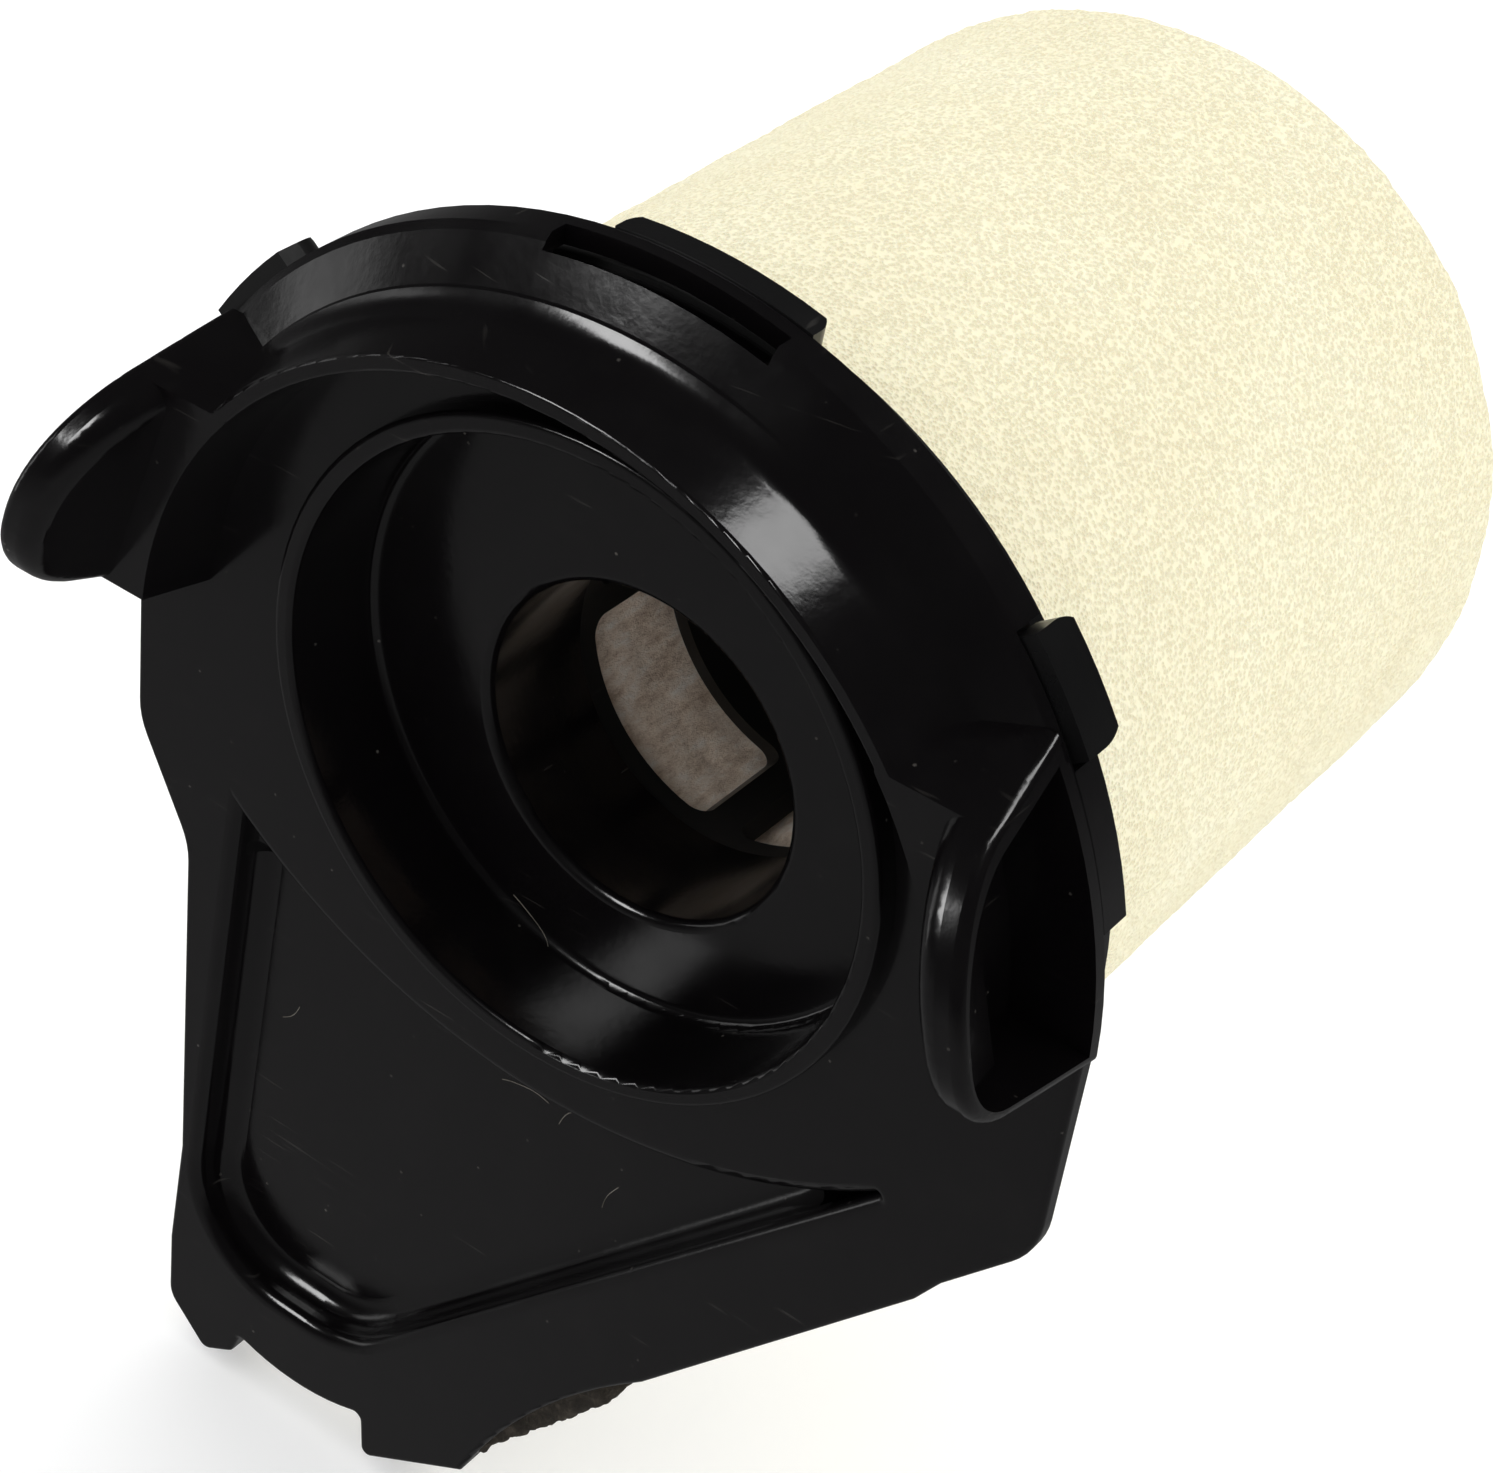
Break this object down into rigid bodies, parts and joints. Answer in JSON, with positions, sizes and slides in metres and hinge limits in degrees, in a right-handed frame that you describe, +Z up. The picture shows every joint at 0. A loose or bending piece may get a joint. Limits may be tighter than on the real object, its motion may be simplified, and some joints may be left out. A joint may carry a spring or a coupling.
{
  "type": "air filter housing",
  "caption": "Engine air filter housing: round rim with raised collar, finger grips and outlet well, shaped apron with a dished pocket, and a foam sleeve behind.",
  "frame": {"origin": "on the outlet bore's axis, where the bore's straight wall begins behind its rounded mouth", "axes": "+Z up, towards the latch slot and away from the apron; +Y along the bore's axis, from the outlet side to the foam; +X to the right seen from the outlet side"},
  "size_m": [0.1248, 0.1353, 0.1816],
  "materials": {
    "housing_plastic": "glossy moulded",
    "frame_plastic": "satin moulded",
    "core_plastic": "satin moulded",
    "seal_rubber": "matt",
    "felt": "fibrous",
    "pad_fibre": "fibrous",
    "foam": "open-cell foam"
  },
  "bodies": {
    "housing": {"front_housing": "housing_plastic", "apron_seal_pad": "pad_fibre"},
    "unit": {"filter_frame": "frame_plastic", "rim_seal": "seal_rubber", "core_tube": "core_plastic", "core_gasket": "seal_rubber", "foam_basket": "core_plastic"},
    "cartridge": {"felt_liner": "felt", "end_cap": "frame_plastic"},
    "foam": {"foam_sleeve": "foam"}
  },
  "joints": [
    {"name": "unit_slide", "type": "slide", "parent": "housing", "child": "unit", "axis": [0, 1, 0], "range_m": [0, 0.03]},
    {"name": "foam_slide", "type": "slide", "parent": "unit", "child": "foam", "axis": [0, 1, 0], "range_m": [0, 0.105]},
    {"name": "cartridge_slide", "type": "slide", "parent": "unit", "child": "cartridge", "axis": [0, 1, 0], "range_m": [0, 0.095]}
  ]
}
